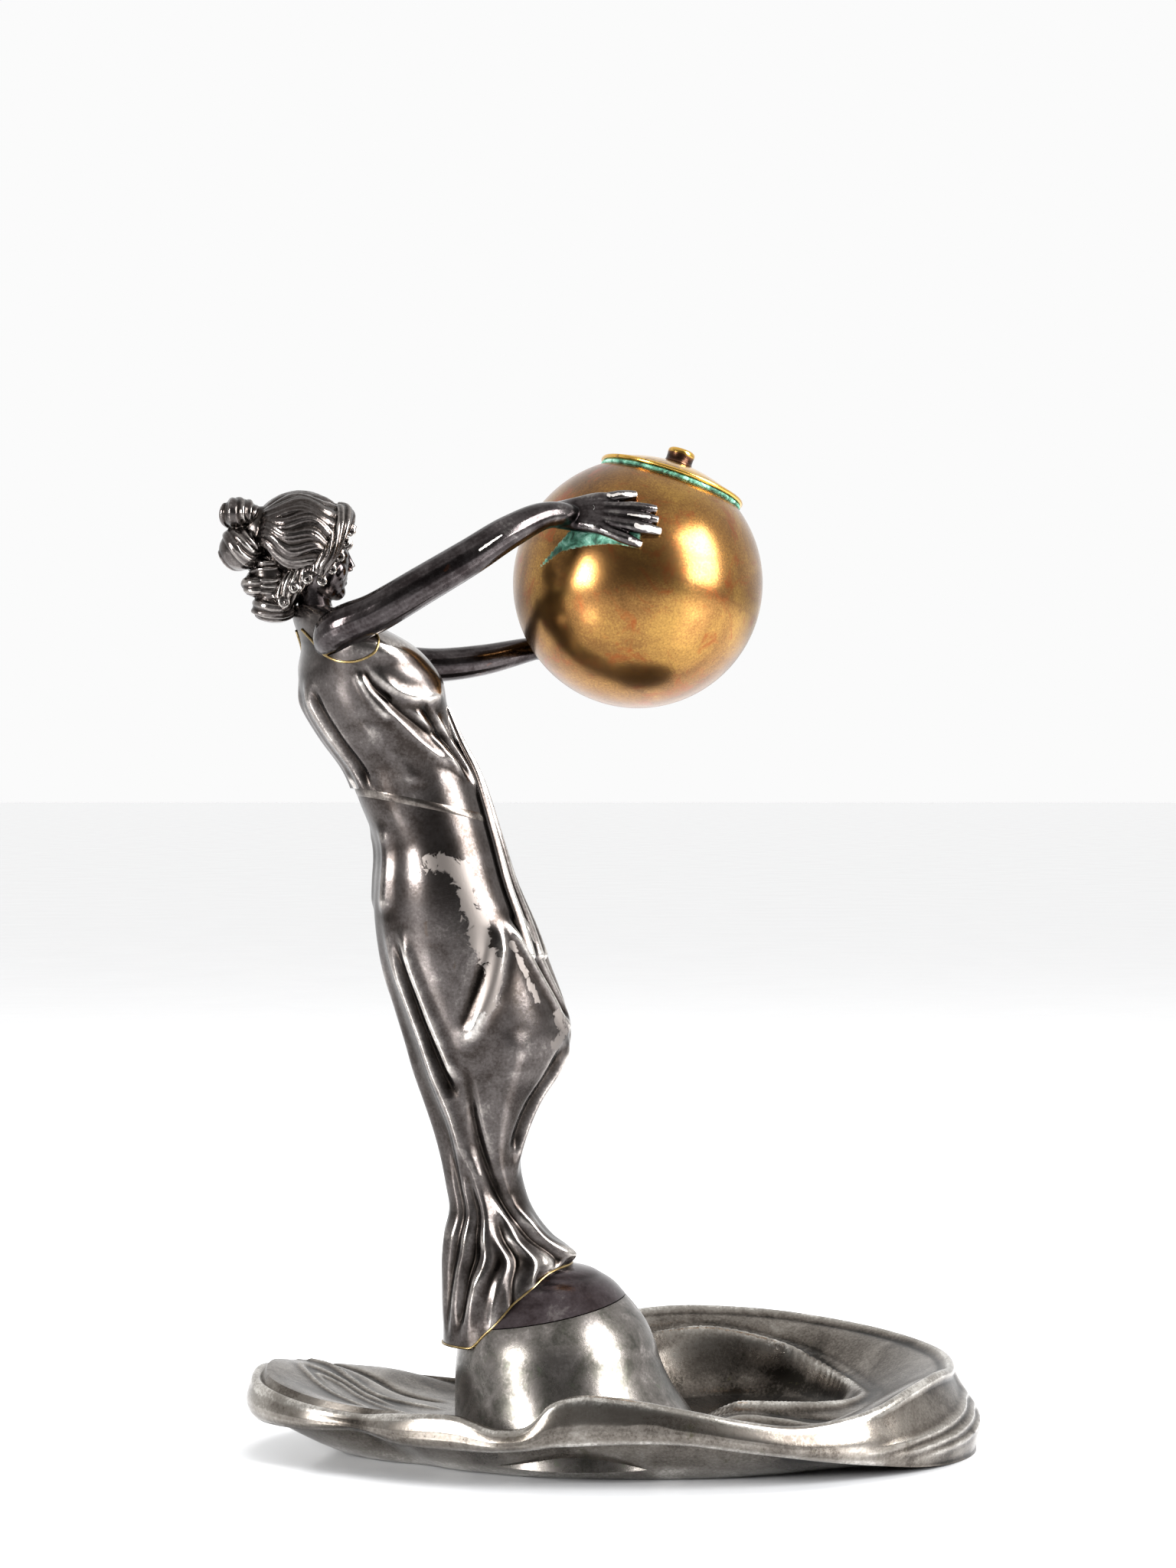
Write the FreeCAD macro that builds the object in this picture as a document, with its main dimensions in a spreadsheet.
import FreeCAD, Part
import bisect
import math
import os
import Sketcher

os.makedirs("parts", exist_ok=True)
Vector = FreeCAD.Vector
UP = Vector(0, 0, 1)
ORIGIN = Vector(0, 0, 0)

# ---------------------------------------------------------------- driving dimensions, mm and degrees
SIZES = {
    # the figure's place and the way it faces
    "foot_x": -25.0, "foot_y": -18.2, "facing_angle": 16.0,
    # castings
    "figure_wall": 2.4, "hollow_bottom": 78.0, "hollow_top": 186.0,
    # joint between the two body castings
    "seam_height": 156.0, "seam_tilt": 13.0, "seam_band": 2.2,
    # strip of drapery down the front
    "strip_proud": 0.9, "strip_thick": 1.3,
    # head and hair: radii along facing, across and up
    "head_forward": -48.4, "head_height": 217.0, "head_long": 11.6, "head_broad": 10.0, "head_tall": 10.9,
    "face_forward": 4.6, "face_drop": 6.4, "face_long": 5.6, "face_broad": 6.6, "face_tall": 8.2,
    "neck_radius": 3.4, "neck_forward": -46.6, "neck_bottom": 193.0, "neck_lean": 8.0,
    "knot_back": 16.6, "knot_rise": 6.6, "knot_long": 5.0, "knot_tall": 4.4,
    "bun_back": 15.8, "bun_drop": 1.6, "bun_long": 6.4, "bun_tall": 5.9,
    "nape_back": 6.4, "nape_drop": 10.0, "nape_long": 5.8, "nape_tall": 6.4,
    "roll_back": 8.6, "roll_drop": 14.6, "roll_long": 5.6, "roll_tall": 3.6,
    # shoulders and arms
    "shoulder_forward": -44.5, "shoulder_height": 195.5, "shoulder_side": 14.5,
    "upper_arm_radius": 4.5, "elbow_radius": 4.0, "wrist_radius": 3.0,
    "palm_half_width": 5.0, "palm_half_thick": 2.3, "finger_radius": 1.45,
    # ball that the hands hold
    "ball_forward": 32.0, "ball_height": 209.2, "ball_radius": 30.0, "ball_wall": 0.8, "ball_tilt": 19.3,
    "screw_radius": 1.0, "screw_head": 2.2, "screw_head_thick": 1.2, "screw_grip": 3.2,
    # filler ring, burner lid, wick tube and snuffer cap, along the ball's own axis
    "mouth_radius": 16.7, "ring_lip": 0.9, "ring_wall": 2.0, "ring_depth": 4.6, "ring_stand": 0.48,
    "lid_overhang": 0.3, "lid_rim": 1.1, "lid_step": 3.2, "lid_rise": 3.8, "lid_wall": 1.0,
    "skirt_depth": 3.6, "skirt_wall": 1.6,
    "tube_radius": 2.4, "tube_bore": 1.6, "tube_above": 2.6, "tube_below": 14.0, "wick_below": 36.0,
    "cap_wall": 0.84, "cap_tall": 3.9, "cap_flange": 0.5, "cap_flange_thick": 0.8,
    "running_gap": 0.06, "seat_gap": 0.05,
    # mound under the figure
    "mound_x": -13.6, "mound_y": -18.0, "mound_radius": 24.0, "mound_flare": 6.0, "mound_wall": 2.6,
    "dome_level": 23.8, "cap_seam_height": 36.5, "cap_seam_tilt": 10.0,
    # tray
    "tray_length": 177.6, "tray_width": 118.0, "tray_floor": 2.5, "tray_wall": 3.0,
    "left_rise": 9.0, "far_rise": 8.5,
    "dish_x": 36.0, "dish_y": 22.0, "dish_long": 31.0, "dish_broad": 19.0,
    "dish_lip": 4.0, "dish_far_lip": 4.5,
    # stud that ties figure, mound and tray
    "stud_radius": 2.0, "stud_top": 62.0, "stud_hole_gap": 0.3, "thread_gap": 0.04,
    "seat_level": 4.6, "seat_room": 1.6,
    "washer_broad": 3.0, "washer_thick": 0.7, "nut_broad": 3.0, "nut_thick": 2.2, "stud_end": 0.4,
}

# Sizes that follow from the ones above, so that what fits together stays together.
FOLLOWING = {
    "ring_radius": "=mouth_radius + ring_lip",
    "ring_top": "=sqrt(ball_radius^2 - mouth_radius^2) + ring_stand",
    "lid_radius": "=ring_radius + lid_overhang",
    "cap_radius": "=tube_radius + running_gap + cap_wall",
    "washer_radius": "=stud_radius + washer_broad",
    "seat_radius": "=washer_radius + seat_room",
    "nut_across": "=2 * stud_radius + nut_broad",
}

# Body sections from the hem up: height, place along the facing line, half depth, half width.
SECTIONS = {
    "hem": (30.0, -2.6, 12.8, 9.5),
    "train": (45.0, -2.3, 12.2, 10.5),
    "ankle": (57.0, -3.6, 10.6, 9.4),
    "shin": (71.0, -6.3, 8.8, 8.6),
    "calf": (84.0, -6.2, 12.4, 12.0),
    "knee": (100.0, -5.4, 17.9, 15.4),
    "thigh": (118.0, -10.4, 18.0, 17.0),
    "hip": (136.0, -15.4, 15.4, 16.8),
    "waist": (152.0, -19.6, 13.8, 13.6),
    "rib": (168.0, -26.8, 14.4, 14.8),
    "bust": (182.0, -34.2, 15.3, 16.8),
    "shoulder": (190.5, -36.6, 14.6, 18.0),
    "collar": (197.0, -43.6, 8.6, 14.0),
    "nape": (201.5, -46.6, 5.0, 6.4),
}
for section_name, section_values in SECTIONS.items():
    for quantity, value in zip(("level", "along", "half_depth", "half_width"), section_values):
        SIZES[f"{section_name}_{quantity}"] = value

# Rim of the tray, counter-clockwise from the right end: shares of half the length and width,
# then the height of the crest and how deep the outer band under it is.
RIM = {
    "right_end": (1.0, -0.10, 20.5, 17.0),
    "right_far": (0.95, 0.34, 21.5, 15.0),
    "far_corner": (0.74, 0.76, 23.0, 11.0),
    "far_dish": (0.42, 0.975, 26.0, 9.0),
    "far_middle": (0.08, 0.97, 25.5, 8.0),
    "far_step": (-0.20, 0.82, 18.0, 6.0),
    "far_dip": (-0.43, 0.60, 11.5, 5.0),
    "far_left": (-0.68, 0.63, 13.0, 5.0),
    "left_far": (-0.90, 0.40, 16.0, 5.5),
    "left_tip": (-0.995, 0.0, 20.0, 6.0),
    "left_near": (-0.93, -0.34, 19.0, 6.0),
    "near_notch": (-0.62, -0.56, 17.0, 5.0),
    "near_left": (-0.38, -0.84, 15.8, 7.5),
    "near_step": (-0.13, -0.965, 20.0, 9.0),
    "near_lobe": (0.14, -0.995, 21.0, 10.0),
    "near_right": (0.46, -0.92, 15.0, 9.5),
    "right_near": (0.80, -0.58, 18.0, 14.0),
}
for station_name, station_values in RIM.items():
    SIZES[f"{station_name}_crest"] = station_values[2]
    SIZES[f"{station_name}_band"] = station_values[3]

doc = FreeCAD.newDocument("statuette")
sheet = doc.addObject("Spreadsheet::Sheet", "Sizes")
for row, (alias, value) in enumerate({**SIZES, **FOLLOWING}.items(), start=1):
    sheet.set(f"A{row}", alias)
    sheet.set(f"B{row}", str(value))
    sheet.setAlias(f"B{row}", alias)
doc.recompute()


def size(alias):
    """The value of one cell of the sheet."""
    return float(sheet.get(alias))


# ---------------------------------------------------------------- frames
facing = math.radians(size("facing_angle"))
FORWARD = Vector(math.cos(facing), math.sin(facing), 0)
RIGHT = FORWARD.cross(UP)
FOOT = Vector(size("foot_x"), size("foot_y"), 0)
FIGURE_TURN = FreeCAD.Rotation(UP, size("facing_angle"))


def figure_point(forward, right, up):
    """A point given along the figure's facing, to its right-hand side, and up."""
    return FOOT + FORWARD * forward + RIGHT * right + UP * up


def figure_placement(forward, right, up, lean=0.0):
    """A frame turned with the figure; lean tips its top backwards, in degrees."""
    lean_turn = FreeCAD.Rotation(Vector(0, 1, 0), -lean)
    return FreeCAD.Placement(figure_point(forward, right, up), FIGURE_TURN.multiply(lean_turn))


BALL_CENTRE = figure_point(size("ball_forward"), 0, size("ball_height"))
BALL_FRAME = FreeCAD.Placement(
    BALL_CENTRE, FIGURE_TURN.multiply(FreeCAD.Rotation(Vector(0, 1, 0), size("ball_tilt"))))
STUD_POINT = figure_point(size("train_along"), 0, 0)


def section_frame(point, along, across):
    """A frame at a point whose Z runs along a path and whose X lies across it."""
    z_axis = Vector(along).normalize()
    x_axis = (Vector(across) - z_axis * across.dot(z_axis)).normalize()
    y_axis = z_axis.cross(x_axis)
    return FreeCAD.Placement(FreeCAD.Matrix(
        x_axis.x, y_axis.x, z_axis.x, point.x,
        x_axis.y, y_axis.y, z_axis.y, point.y,
        x_axis.z, y_axis.z, z_axis.z, point.z,
        0, 0, 0, 1))


# ---------------------------------------------------------------- document helpers
def add(kind, name, placement=None, **bindings):
    """A document object with its properties bound to expressions or set to plain values."""
    made = doc.addObject(kind, name)
    for prop, value in bindings.items():
        if isinstance(value, str):
            made.setExpression(prop, value)
        else:
            setattr(made, prop, value)
    if placement is not None:
        made.Placement = placement
    return made


def combine(kind, name, base, tool):
    """A Part::Cut, Part::Fuse or Part::Common of two objects."""
    return add(kind, name, Base=base, Tool=tool)


def feature(name, shape):
    """A free-form or placed solid that no parametric feature fits."""
    made = doc.addObject("Part::Feature", name)
    made.Shape = shape
    made.Placement = shape.Placement
    return made


def largest_solid(shape):
    """The biggest solid of a boolean result, as a shape of its own."""
    return max(shape.Solids, key=lambda solid: solid.Volume)


def revolved_body(name, outline, placement):
    """A PartDesign body turned about its Z axis from corners given as (radius, height) expressions."""
    body = doc.addObject("PartDesign::Body", name)
    sketch = body.newObject("Sketcher::SketchObject", name + "_outline")
    plane = next(item for item in body.Origin.OriginFeatures if item.Role == "XZ_Plane")
    sketch.AttachmentSupport = (plane, "")
    sketch.MapMode = "FlatFace"
    corners = [(value_of(radius), value_of(height)) for radius, height in outline]
    for index, (radius, height) in enumerate(corners):
        next_radius, next_height = corners[(index + 1) % len(corners)]
        sketch.addGeometry(Part.LineSegment(Vector(radius, height, 0), Vector(next_radius, next_height, 0)))
    for index, (radius, height) in enumerate(outline):
        following = (index + 1) % len(outline)
        sketch.addConstraint(Sketcher.Constraint("Coincident", index, 2, following, 1))
        bind_corner(sketch, index, "DistanceX", radius, corners[index][0])
        bind_corner(sketch, index, "DistanceY", height, corners[index][1])
    turned = body.newObject("PartDesign::Revolution", name + "_turned")
    turned.Profile = sketch
    turned.ReferenceAxis = (sketch, ["V_Axis"])
    turned.Angle = 360.0
    body.Placement = placement
    return body


def value_of(expression):
    """The number that an expression over the sheet's aliases has now."""
    probe = sheet.evalExpression(expression)
    return float(getattr(probe, "Value", probe))


def bind_corner(sketch, index, kind, expression, value):
    """One corner's distance from the sketch's origin, bound to the sheet."""
    constraint = sketch.addConstraint(Sketcher.Constraint(kind, -1, 1, index, 1, value))
    sketch.setExpression(f"Constraints[{constraint}]", expression)


# ---------------------------------------------------------------- tray
HALF_LENGTH = size("tray_length") / 2
HALF_WIDTH = size("tray_width") / 2
RIM_POINTS = [Vector(share[0] * HALF_LENGTH, share[1] * HALF_WIDTH, 0) for share in RIM.values()]
RIM_CURVE = Part.BSplineCurve()
RIM_CURVE.interpolate(RIM_POINTS, PeriodicFlag=True)
RIM_SAMPLES = 720
SAMPLED_RIM = RIM_CURVE.toShape().discretize(Number=RIM_SAMPLES)


def bearing(x, y):
    """Direction of a point about the tray's middle, with both half sizes taken as one."""
    return math.atan2(y / HALF_WIDTH, x / HALF_LENGTH) % (2 * math.pi)


RIM_BEARINGS = sorted((bearing(point.x, point.y), math.hypot(point.x, point.y)) for point in SAMPLED_RIM)
STATION_BEARINGS = [bearing(point.x, point.y) for point in RIM_POINTS]


def smooth(value):
    """0 below 0, 1 above 1, and an even S between them."""
    clipped = min(max(value, 0.0), 1.0)
    return clipped * clipped * (3 - 2 * clipped)


def around(angle, quantity):
    """A rim quantity at a bearing, eased between its stations."""
    values = [size(f"{name}_{quantity}") for name in RIM]
    count = len(values)
    for index, start in enumerate(STATION_BEARINGS):
        gap = (STATION_BEARINGS[(index + 1) % count] - start) % (2 * math.pi)
        offset = (angle - start) % (2 * math.pi)
        if offset <= gap:
            share = smooth(offset / gap)
            return values[index] * (1 - share) + values[(index + 1) % count] * share
    return values[0]


def reach(angle):
    """Distance from the tray's middle to its rim at a bearing."""
    after = bisect.bisect_left(RIM_BEARINGS, (angle, 0.0)) % len(RIM_BEARINGS)
    start, start_reach = RIM_BEARINGS[after - 1]
    end, end_reach = RIM_BEARINGS[after]
    share = ((angle - start) % (2 * math.pi)) / max((end - start) % (2 * math.pi), 1e-9)
    return start_reach * (1 - share) + end_reach * share


FLOOR_SHARE = 0.62
LIP_WIDTH = 0.2


def tray_floor(x, y):
    """The floor inside the tray, before the wall rises from it."""
    left = size("left_rise") * smooth((-x - 5) / 45)
    far = size("far_rise") * smooth((y + 5) / 45)
    return size("tray_floor") + max(left, far) + 0.25 * min(left, far)


def dish_lip(x, y):
    """Raised lip around the oval dish, higher on its far side."""
    across = (y - size("dish_y")) / size("dish_broad")
    oval = math.hypot((x - size("dish_x")) / size("dish_long"), across)
    height = size("dish_lip") + size("dish_far_lip") * smooth(across)
    return height * math.exp(-((oval - 1) / LIP_WIDTH) ** 2)


def tray_heights(x, y):
    """Top and bottom of the tray's casting at one point of the plan."""
    angle = bearing(x, y)
    share = math.hypot(x, y) / reach(angle)
    floor = tray_floor(x, y)
    climb = smooth((share - FLOOR_SHARE) / (1 - FLOOR_SHARE))
    crest = around(angle, "crest")
    top = floor + (crest - floor) * climb + dish_lip(x, y) * (1 - climb)
    wall = size("tray_wall") + (around(angle, "band") - size("tray_wall")) * climb ** 3
    return top, top - dish_lip(x, y) * (1 - climb) - wall


GRID_STEP = 4.2
GRID_MARGIN = 9.0
HIGH = 90.0


def grid_values(half):
    """Evenly spaced coordinates that reach past the rim on both sides."""
    count = int(2 * (half + GRID_MARGIN) / GRID_STEP)
    return [-half - GRID_MARGIN + 2 * (half + GRID_MARGIN) * index / count for index in range(count + 1)]


top_rows = []
bottom_rows = []
for grid_x in grid_values(HALF_LENGTH):
    heights = [(grid_y, tray_heights(grid_x, grid_y)) for grid_y in grid_values(HALF_WIDTH)]
    top_rows.append([Vector(grid_x, grid_y, pair[0]) for grid_y, pair in heights])
    bottom_rows.append([Vector(grid_x, grid_y, pair[1]) for grid_y, pair in heights])


def under(rows):
    """Everything below a surface through a grid of points."""
    surface = Part.BSplineSurface()
    surface.interpolate(rows)
    return surface.toShape().extrude(Vector(0, 0, -HIGH))


below_top = under(top_rows)
below_bottom = under(bottom_rows)
rim_prism = Part.Face(Part.Wire(RIM_CURVE.toShape())).extrude(Vector(0, 0, HIGH))
tray_solid = largest_solid(rim_prism.common(below_top).cut(below_bottom))

stud_hole = Part.makeCylinder(size("stud_radius") + size("stud_hole_gap"), HIGH, STUD_POINT)
washer_seat = Part.makeCylinder(size("seat_radius"), size("seat_level"), STUD_POINT)
tray = feature("tray", largest_solid(tray_solid.cut(washer_seat).cut(stud_hole)))

# ---------------------------------------------------------------- mound
mound_base = Vector(size("mound_x"), size("mound_y"), 0)
dome_frame = FreeCAD.Placement(mound_base + UP * size("dome_level"), FreeCAD.Rotation())
flare_frame = FreeCAD.Placement(mound_base, FreeCAD.Rotation())


def bell(name, inset):
    """Half a ball on a flared skirt, smaller all over by an inset expression."""
    dome = add("Part::Sphere", name + "_dome", dome_frame, Radius=f"Sizes.mound_radius - {inset}",
               Angle1=0.0, Angle2=90.0, Angle3=360.0)
    skirt = add("Part::Cone", name + "_skirt", flare_frame,
                Radius1=f"Sizes.mound_radius + Sizes.mound_flare - {inset}",
                Radius2=f"Sizes.mound_radius - {inset}", Height="Sizes.dome_level")
    return combine("Part::Fuse", name, dome, skirt)


mound_outer = bell("mound_outer", "0")
mound_inner = bell("mound_inner", "Sizes.mound_wall")
mound_hollow = combine("Part::Cut", "mound_hollow", mound_outer, mound_inner)

# The cap is what lies above a tilted plane; the shell is the rest, down to the tray.
cap_turn = FIGURE_TURN.multiply(FreeCAD.Rotation(Vector(0, 1, 0), -size("cap_seam_tilt")))
cap_seam = FreeCAD.Placement(mound_base + UP * size("cap_seam_height"), cap_turn)
BLOCK = 200.0
above_seam = add("Part::Box", "above_seam", cap_seam.multiply(FreeCAD.Placement(
    Vector(-BLOCK / 2, -BLOCK / 2, 0), FreeCAD.Rotation())), Length=BLOCK, Width=BLOCK, Height=BLOCK)
stud_way = add("Part::Cylinder", "stud_way", FreeCAD.Placement(STUD_POINT, FreeCAD.Rotation()),
               Radius="Sizes.stud_radius + Sizes.stud_hole_gap", Height=HIGH)
below_tray = feature("below_tray", below_top)
cap_solid = combine("Part::Common", "cap_solid", mound_hollow, above_seam)
mound_cap = combine("Part::Cut", "mound_cap", cap_solid, stud_way)
shell_solid = combine("Part::Cut", "shell_solid", mound_hollow, above_seam)
mound_shell = combine("Part::Cut", "mound_shell", shell_solid, below_tray)

# ---------------------------------------------------------------- body castings
RING_POINTS = 24


def closed_ring(centre, reach_forward, reach_side):
    """A closed smooth curve through points on an oval, always started at the same place."""
    turns = [2 * math.pi * step / RING_POINTS for step in range(RING_POINTS)]
    points = [centre + reach_forward * math.cos(turn) + reach_side * math.sin(turn) for turn in turns]
    curve = Part.BSplineCurve()
    curve.interpolate(points, PeriodicFlag=True)
    return Part.Wire(curve.toShape())


def section_at(level):
    """Place along the facing line, half depth and half width at a height, between the sections."""
    names = list(SECTIONS)
    levels = [size(f"{name}_level") for name in names]
    upper = next((index for index, value in enumerate(levels) if value > level), len(names) - 1)
    lower = max(upper - 1, 0)
    share = (level - levels[lower]) / max(levels[upper] - levels[lower], 0.001)
    return [size(f"{names[lower]}_{quantity}") * (1 - share) + size(f"{names[upper]}_{quantity}") * share
            for quantity in ("along", "half_depth", "half_width")]


def body_loft(inset, levels):
    """A smooth solid through the body at these heights, smaller all round by an inset."""
    rings = []
    for level in levels:
        along, half_depth, half_width = section_at(level)
        rings.append(closed_ring(figure_point(along, 0, level),
                                 FORWARD * (half_depth - inset), RIGHT * -(half_width - inset)))
    return Part.makeLoft(rings, True, False)


section_levels = [size(f"{name}_level") for name in SECTIONS]
body_outer = body_loft(0.0, section_levels)
hollow_levels = [size("hollow_bottom")]
hollow_levels += [level for level in section_levels
                  if size("hollow_bottom") + 3 < level < size("hollow_top") - 3]
hollow_levels += [size("hollow_top")]
body_hollow = body_loft(size("figure_wall"), hollow_levels)

mound_full = Part.makeSphere(size("mound_radius"), mound_base + UP * size("dome_level")).fuse(
    Part.makeCone(size("mound_radius") + size("mound_flare"), size("mound_radius"), size("dome_level"),
                  mound_base))
stud_thread = Part.makeCylinder(size("stud_radius") + size("thread_gap"), size("stud_top"), STUD_POINT)
figure_casting = body_outer.cut(body_hollow).cut(mound_full).cut(stud_thread)


def seam_block(height):
    """Everything above the tilted joint between the two castings, from a height on the body's axis."""
    along = section_at(size("seam_height"))[0]
    frame = figure_placement(along, 0, height, -size("seam_tilt"))
    block = Part.makeBox(BLOCK, BLOCK, BLOCK, Vector(-BLOCK / 2, -BLOCK / 2, 0))
    block.Placement = frame
    return block


above_band = seam_block(size("seam_height") + size("seam_band") / 2)
above_gown = seam_block(size("seam_height") - size("seam_band") / 2)
gown = feature("gown", largest_solid(figure_casting.cut(above_gown)))
hip_band = feature("hip_band", largest_solid(figure_casting.common(above_gown).cut(above_band)))
torso_solid = largest_solid(figure_casting.common(above_band))

# Strip of drapery that stands a little off the front, from the bust to the knee.
STRIP = (("bust", 3.4), ("rib", 3.8), ("waist", 4.4), ("hip", 5.6), ("thigh", 7.0))
strip_rings = []
for section_name, half_width in STRIP:
    front = size(f"{section_name}_along") + size(f"{section_name}_half_depth") + size("strip_proud")
    centre = figure_point(front - size("strip_thick"), 0, size(f"{section_name}_level"))
    strip_rings.append(closed_ring(centre, FORWARD * size("strip_thick"), RIGHT * -half_width))
strip_loft = Part.makeLoft(strip_rings, True, False)
front_drape = feature("front_drape", largest_solid(strip_loft.cut(body_outer)))

# ---------------------------------------------------------------- head
head_centre = (size("head_forward"), size("head_height"))


def egg(name, back, drop, long, broad, tall):
    """An ellipsoid of the head, placed back from and below the skull's middle."""
    placement = figure_placement(head_centre[0] - back, 0, head_centre[1] - drop)
    return add("Part::Ellipsoid", name, placement, Radius1=tall, Radius2=long, Radius3=broad,
               Angle1=-90.0, Angle2=90.0, Angle3=360.0)


skull = egg("skull", 0, 0, "Sizes.head_long", "Sizes.head_broad", "Sizes.head_tall")
face = egg("face", -size("face_forward"), size("face_drop"),
           "Sizes.face_long", "Sizes.face_broad", "Sizes.face_tall")
knot = egg("knot", size("knot_back"), -size("knot_rise"),
           "Sizes.knot_long", "Sizes.knot_long", "Sizes.knot_tall")
bun = egg("bun", size("bun_back"), size("bun_drop"), "Sizes.bun_long", "Sizes.bun_long", "Sizes.bun_tall")
nape = egg("nape_hair", size("nape_back"), size("nape_drop"),
           "Sizes.nape_long", "Sizes.nape_long", "Sizes.nape_tall")
roll = egg("roll", size("roll_back"), size("roll_drop"),
           "Sizes.roll_long", "Sizes.roll_long", "Sizes.roll_tall")
neck = add("Part::Cylinder", "neck",
           figure_placement(size("neck_forward"), 0, size("neck_bottom"), size("neck_lean")),
           Radius="Sizes.neck_radius", Height="Sizes.head_height - Sizes.neck_bottom")
head_mass = add("Part::MultiFuse", "head_mass", Shapes=[skull, face, knot, bun, nape, roll, neck])
torso_block = feature("torso_block", body_outer)
head = combine("Part::Cut", "head", head_mass, torso_block)

# ---------------------------------------------------------------- arms and hands
BALL_RADIUS = size("ball_radius")


def on_ball(forward, right, up, off):
    """A point off the ball's surface in a direction given in the figure's own frame."""
    direction = FORWARD * forward + RIGHT * right + UP * up
    return BALL_CENTRE + direction.normalize() * (BALL_RADIUS + off)


# For each side: how far out the elbow swings, how much it sags, then directions from the ball's
# middle of the wrist, palm, knuckles, fingers and fingertips.
HANDS = {
    "right": dict(side=1, bow=5.0, sag=-1.0, wrist=(-0.80, 0.50, 0.47), palm=(-0.55, 0.68, 0.48),
                  knuckle=(-0.33, 0.80, 0.50), fingers=(-0.10, 0.87, 0.48), tip=(0.12, 0.88, 0.44)),
    "left": dict(side=-1, bow=4.0, sag=5.5, wrist=(-0.66, -0.66, -0.42), palm=(-0.42, -0.78, -0.42),
                 knuckle=(-0.22, -0.88, -0.40), fingers=(0.0, -0.90, -0.38), tip=(0.20, -0.90, -0.34)),
}
HAND_LIFT = size("palm_half_thick")


def arm_solid(hand):
    """An arm whose hand, fingers together, lies on the ball: one casting."""
    side = hand["side"]
    shoulder = figure_point(size("shoulder_forward"), side * size("shoulder_side"), size("shoulder_height"))
    wrist = on_ball(*hand["wrist"], HAND_LIFT + size("wrist_radius") * 0.6)
    palm = on_ball(*hand["palm"], HAND_LIFT)
    knuckle = on_ball(*hand["knuckle"], HAND_LIFT * 0.95)
    fingers = on_ball(*hand["fingers"], size("finger_radius") * 1.1)
    tip = on_ball(*hand["tip"], size("finger_radius") * 0.9)
    outward = RIGHT * (side * hand["bow"]) - UP * hand["sag"]
    elbow = (shoulder + wrist) * 0.5 + outward
    upper = (shoulder * 3 + wrist) * 0.25 + outward * 0.74
    fore = (shoulder + wrist * 3) * 0.25 + outward * 0.74
    stations = (
        (shoulder, size("upper_arm_radius"), size("upper_arm_radius")),
        (upper, size("upper_arm_radius"), size("upper_arm_radius") * 0.95),
        (elbow, size("elbow_radius"), size("elbow_radius")),
        (fore, size("elbow_radius") * 0.92, size("elbow_radius") * 0.88),
        (wrist, size("wrist_radius") * 1.05, size("wrist_radius") * 0.85),
        (palm, size("palm_half_width") * 0.92, size("palm_half_thick")),
        (knuckle, size("palm_half_width"), size("palm_half_thick") * 0.8),
        (fingers, size("palm_half_width") * 1.1, size("finger_radius")),
        (tip, size("palm_half_width") * 0.7, size("finger_radius") * 0.7),
    )
    rings = []
    for index, (point, half_across, half_thick) in enumerate(stations):
        before = stations[max(index - 1, 0)][0]
        after = stations[min(index + 1, len(stations) - 1)][0]
        along = (after - before).normalize()
        across = (point - BALL_CENTRE).cross(along).normalize()
        rings.append(closed_ring(point, along.cross(across) * half_thick, across * -half_across))
    ball = Part.makeSphere(BALL_RADIUS, BALL_CENTRE)
    return largest_solid(Part.makeLoft(rings, True, False).cut(ball).cut(body_outer))


def screw_axis(hand):
    """Unit direction from the ball's middle to the middle of a palm."""
    forward, right, up = hand["palm"]
    return (FORWARD * forward + RIGHT * right + UP * up).normalize()


def palm_screw(hand, gap=0.0):
    """A screw from inside the ball into the palm, or the hole that takes it."""
    axis = screw_axis(hand)
    inside = BALL_RADIUS - size("ball_wall")
    start = inside - size("screw_head_thick") / 2
    shank = Part.makeCylinder(size("screw_radius") + gap, BALL_RADIUS + size("screw_grip") - start,
                              BALL_CENTRE + axis * start, axis)
    if gap:
        return shank
    bed = Part.makeSphere(inside - size("running_gap"), BALL_CENTRE)
    screw_head = Part.makeCylinder(size("screw_head"), size("screw_head_thick") + 1,
                                   BALL_CENTRE + axis * (inside - size("screw_head_thick")), axis)
    return shank.fuse(screw_head.common(bed))


screw_holes = [palm_screw(hand, size("thread_gap")) for hand in HANDS.values()]
arms = {}
for hand_name, hand_sizes in HANDS.items():
    arm = arm_solid(hand_sizes)
    for hole in screw_holes:
        arm = arm.cut(hole)
    arms[hand_name] = feature(f"{hand_name}_arm", largest_solid(arm))
palm_screws = feature("palm_screws", Part.makeCompound([palm_screw(hand) for hand in HANDS.values()]))
torso = feature("torso", torso_solid)

# ---------------------------------------------------------------- ball
ball_outer = {}
for half_name, low, high in (("lower", -90.0, 0.0), ("upper", 0.0, 90.0)):
    ball_outer[half_name] = add("Part::Sphere", f"ball_{half_name}_solid", BALL_FRAME,
                                Radius="Sizes.ball_radius", Angle1=low, Angle2=high, Angle3=360.0)
ball_inner = add("Part::Sphere", "ball_inner", BALL_FRAME, Radius="Sizes.ball_radius - Sizes.ball_wall",
                 Angle1=-90.0, Angle2=90.0, Angle3=360.0)
mouth = add("Part::Cylinder", "mouth", BALL_FRAME,
            Radius="Sizes.mouth_radius", Height="Sizes.ball_radius * 2")
holes = feature("screw_holes", Part.makeCompound(screw_holes))
lower_shell = combine("Part::Cut", "lower_shell", ball_outer["lower"], ball_inner)
ball_lower = combine("Part::Cut", "ball_lower", lower_shell, holes)
upper_shell = combine("Part::Cut", "upper_shell", ball_outer["upper"], ball_inner)
upper_drilled = combine("Part::Cut", "upper_drilled", upper_shell, holes)
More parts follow.
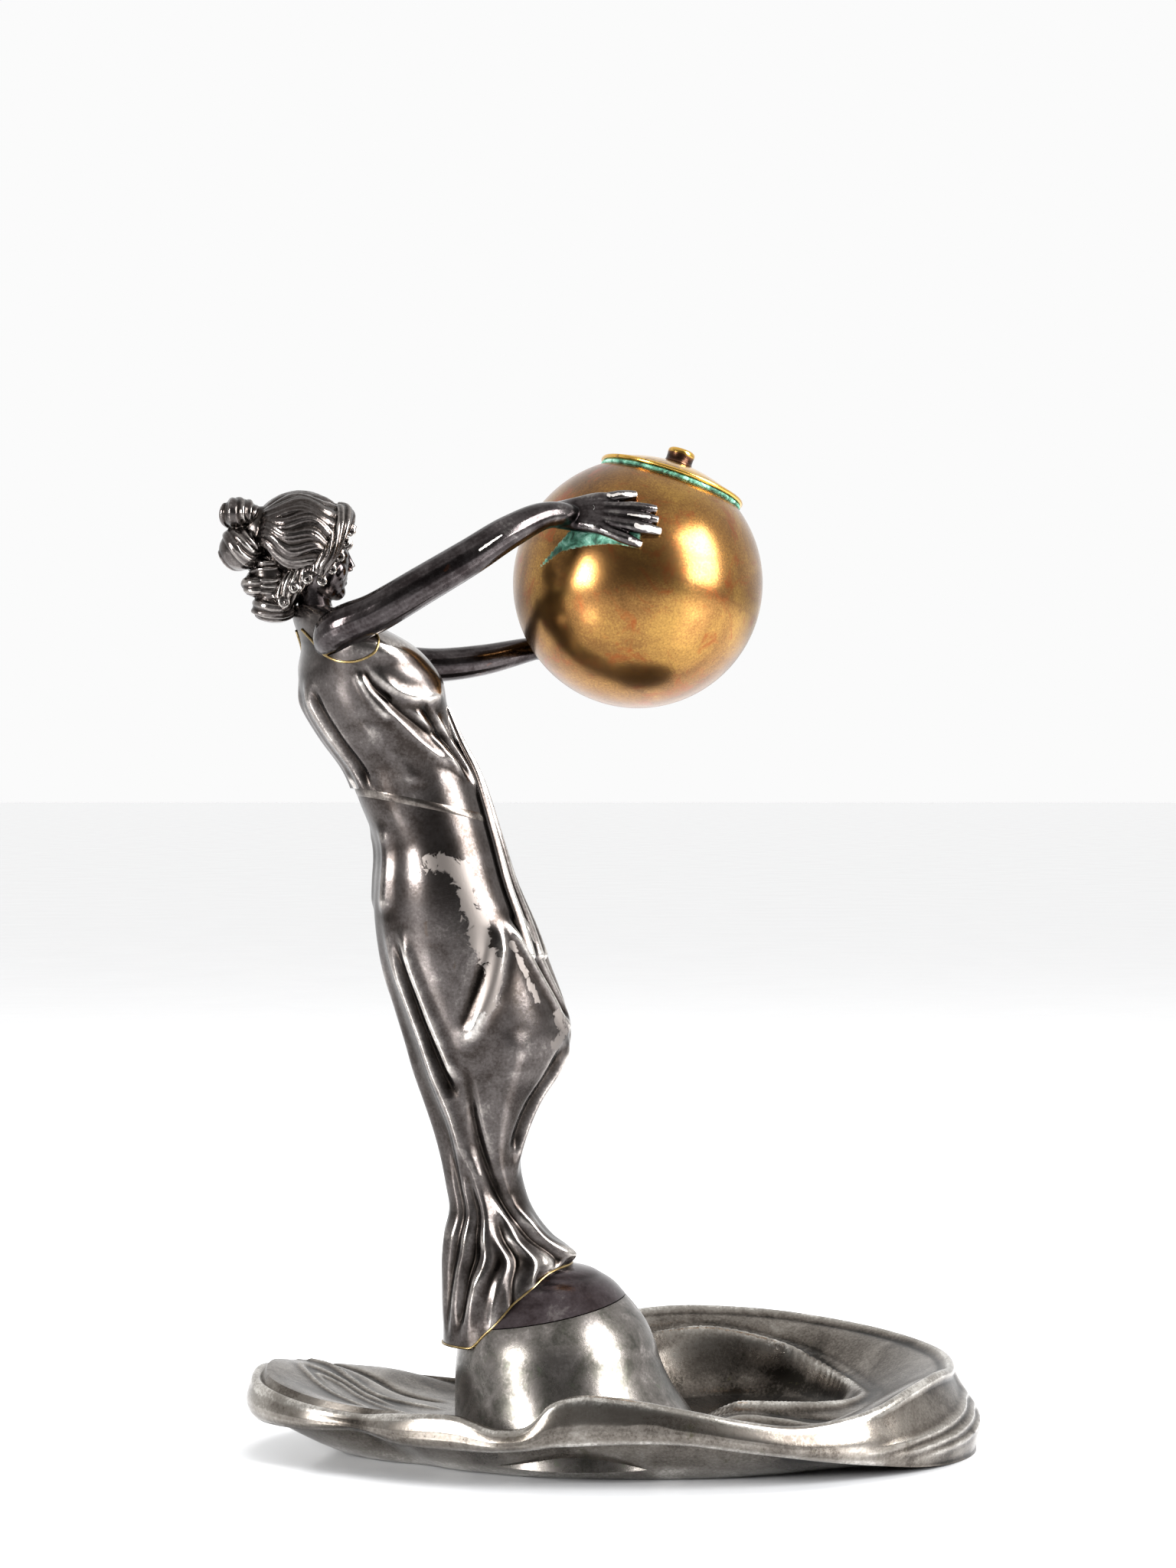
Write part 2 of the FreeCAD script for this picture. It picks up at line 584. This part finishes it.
ball_upper = combine("Part::Cut", "ball_upper", upper_drilled, mouth)

# ---------------------------------------------------------------- filler ring
RING_TUBE = "(Sizes.mouth_radius - Sizes.running_gap)"
RING_BORE = "(Sizes.mouth_radius - Sizes.running_gap - Sizes.ring_wall)"
ring_tube = revolved_body("ring_tube", (
    (RING_BORE, "Sizes.ring_top - Sizes.ring_depth"),
    (RING_TUBE, "Sizes.ring_top - Sizes.ring_depth"),
    (RING_TUBE, "Sizes.ring_top - 1"),
    ("Sizes.ring_radius", "Sizes.ring_top - 1"),
    ("Sizes.ring_radius", "Sizes.ring_top"),
    (RING_BORE, "Sizes.ring_top"),
), BALL_FRAME)
ball_block = add("Part::Sphere", "ball_block", BALL_FRAME, Radius="Sizes.ball_radius",
                 Angle1=-90.0, Angle2=90.0, Angle3=360.0)
ring_bed = combine("Part::Cut", "ring_bed", ball_block, mouth)
filler_ring = combine("Part::Cut", "filler_ring", ring_tube, ring_bed)

# ---------------------------------------------------------------- burner lid, wick tube, wick, cap
LID_SEAT = "(Sizes.ring_top + Sizes.seat_gap)"
LID_TOP = "(Sizes.ring_top + Sizes.seat_gap + Sizes.lid_rim + Sizes.lid_rise)"
SKIRT = f"({RING_BORE} - Sizes.running_gap)"
burner_lid = revolved_body("burner_lid", (
    ("Sizes.tube_radius", f"{LID_TOP} - Sizes.lid_wall"),
    ("Sizes.tube_radius + 3", f"{LID_TOP} - Sizes.lid_wall - 0.3"),
    (f"{SKIRT} - Sizes.skirt_wall - 1", f"{LID_SEAT} + Sizes.lid_rim * 0.6"),
    (f"{SKIRT} - Sizes.skirt_wall", f"{LID_SEAT} - Sizes.skirt_depth"),
    (SKIRT, f"{LID_SEAT} - Sizes.skirt_depth"),
    (SKIRT, LID_SEAT),
    ("Sizes.lid_radius", LID_SEAT),
    ("Sizes.lid_radius", f"{LID_SEAT} + Sizes.lid_rim * 0.7"),
    ("Sizes.lid_radius - 0.5", f"{LID_SEAT} + Sizes.lid_rim"),
    ("Sizes.lid_radius - Sizes.lid_step", f"{LID_SEAT} + Sizes.lid_rim"),
    ("Sizes.lid_radius - Sizes.lid_step - 0.4", f"{LID_SEAT} + Sizes.lid_rim + 1"),
    ("Sizes.lid_radius * 0.45", f"{LID_TOP} - 0.8"),
    ("Sizes.cap_radius + Sizes.cap_flange", LID_TOP),
    ("Sizes.tube_radius", LID_TOP),
), BALL_FRAME)
wick_tube = revolved_body("wick_tube", (
    ("Sizes.tube_bore", f"{LID_TOP} - Sizes.tube_below"),
    ("Sizes.tube_radius", f"{LID_TOP} - Sizes.tube_below"),
    ("Sizes.tube_radius", f"{LID_TOP} + Sizes.tube_above"),
    ("Sizes.tube_bore", f"{LID_TOP} + Sizes.tube_above"),
), BALL_FRAME)
wick = revolved_body("wick", (
    ("0", f"{LID_TOP} - Sizes.wick_below"),
    ("Sizes.tube_bore - Sizes.thread_gap", f"{LID_TOP} - Sizes.wick_below"),
    ("Sizes.tube_bore - Sizes.thread_gap", f"{LID_TOP} + Sizes.tube_above"),
    ("0", f"{LID_TOP} + Sizes.tube_above"),
), BALL_FRAME)
CAP_BORE = "(Sizes.tube_radius + Sizes.running_gap)"
CAP_SEAT = f"({LID_TOP} + Sizes.seat_gap)"
snuffer_cap = revolved_body("snuffer_cap", (
    (CAP_BORE, CAP_SEAT),
    ("Sizes.cap_radius + Sizes.cap_flange", CAP_SEAT),
    ("Sizes.cap_radius + Sizes.cap_flange", f"{CAP_SEAT} + Sizes.cap_flange_thick"),
    ("Sizes.cap_radius", f"{CAP_SEAT} + Sizes.cap_flange_thick"),
    ("Sizes.cap_radius", f"{CAP_SEAT} + Sizes.cap_tall - 0.9"),
    ("Sizes.cap_radius * 0.7", f"{CAP_SEAT} + Sizes.cap_tall"),
    ("0", f"{CAP_SEAT} + Sizes.cap_tall"),
    ("0", f"{CAP_SEAT} + Sizes.tube_above + Sizes.seat_gap"),
    (CAP_BORE, f"{CAP_SEAT} + Sizes.tube_above + Sizes.seat_gap"),
), BALL_FRAME)

# ---------------------------------------------------------------- stud, washer and nut
stud_frame = FreeCAD.Placement(STUD_POINT, FreeCAD.Rotation())
STUD_BOTTOM = "(Sizes.seat_level - Sizes.washer_thick - Sizes.nut_thick - Sizes.stud_end)"
figure_stud = revolved_body("figure_stud", (
    ("0", STUD_BOTTOM),
    ("Sizes.stud_radius", STUD_BOTTOM),
    ("Sizes.stud_radius", "Sizes.stud_top"),
    ("0", "Sizes.stud_top"),
), stud_frame)
stud_washer = revolved_body("stud_washer", (
    ("Sizes.stud_radius + Sizes.stud_hole_gap", "Sizes.seat_level - Sizes.washer_thick"),
    ("Sizes.washer_radius", "Sizes.seat_level - Sizes.washer_thick"),
    ("Sizes.washer_radius", "Sizes.seat_level"),
    ("Sizes.stud_radius + Sizes.stud_hole_gap", "Sizes.seat_level"),
), stud_frame)
nut_level = size("seat_level") - size("washer_thick") - size("nut_thick")
nut_hex = add("Part::Prism", "nut_hex", FreeCAD.Placement(STUD_POINT + UP * nut_level, FreeCAD.Rotation()),
              Polygon=6, Circumradius="Sizes.nut_across / 2 / cos(30)", Height="Sizes.nut_thick")
nut_bore = add("Part::Cylinder", "nut_bore", FreeCAD.Placement(STUD_POINT, FreeCAD.Rotation()),
               Radius="Sizes.stud_radius + Sizes.thread_gap", Height=HIGH)
stud_nut = combine("Part::Cut", "stud_nut", nut_hex, nut_bore)

# ---------------------------------------------------------------- checks and export
doc.recompute()
PIECES = [
    tray, mound_shell, mound_cap, gown, hip_band, torso, front_drape, head,
    arms["right"], arms["left"], ball_lower, ball_upper, filler_ring, burner_lid,
    wick_tube, wick, snuffer_cap, palm_screws, figure_stud, stud_washer, stud_nut,
]
for made in doc.Objects:
    if "Invalid" in made.State or "Error" in made.State:
        raise RuntimeError(f"{made.Name} failed: {made.State}")
for piece in PIECES:
    if piece.Shape.isNull() or not piece.Shape.isValid():
        raise RuntimeError(f"{piece.Name} has no valid shape")
    if not piece.Shape.Solids:
        raise RuntimeError(f"{piece.Name} has no solid")
for piece in PIECES:
    piece.Label = piece.Name
    piece.Shape.exportStep(f"parts/{piece.Label}.step")
    box = piece.Shape.optimalBoundingBox(True, False)
    print(f"{piece.Label:13s} solids {len(piece.Shape.Solids)} volume {piece.Shape.Volume:9.1f} "
          f"x {box.XMin:6.1f} {box.XMax:6.1f} y {box.YMin:6.1f} {box.YMax:6.1f} z {box.ZMin:6.1f} {box.ZMax:6.1f}")
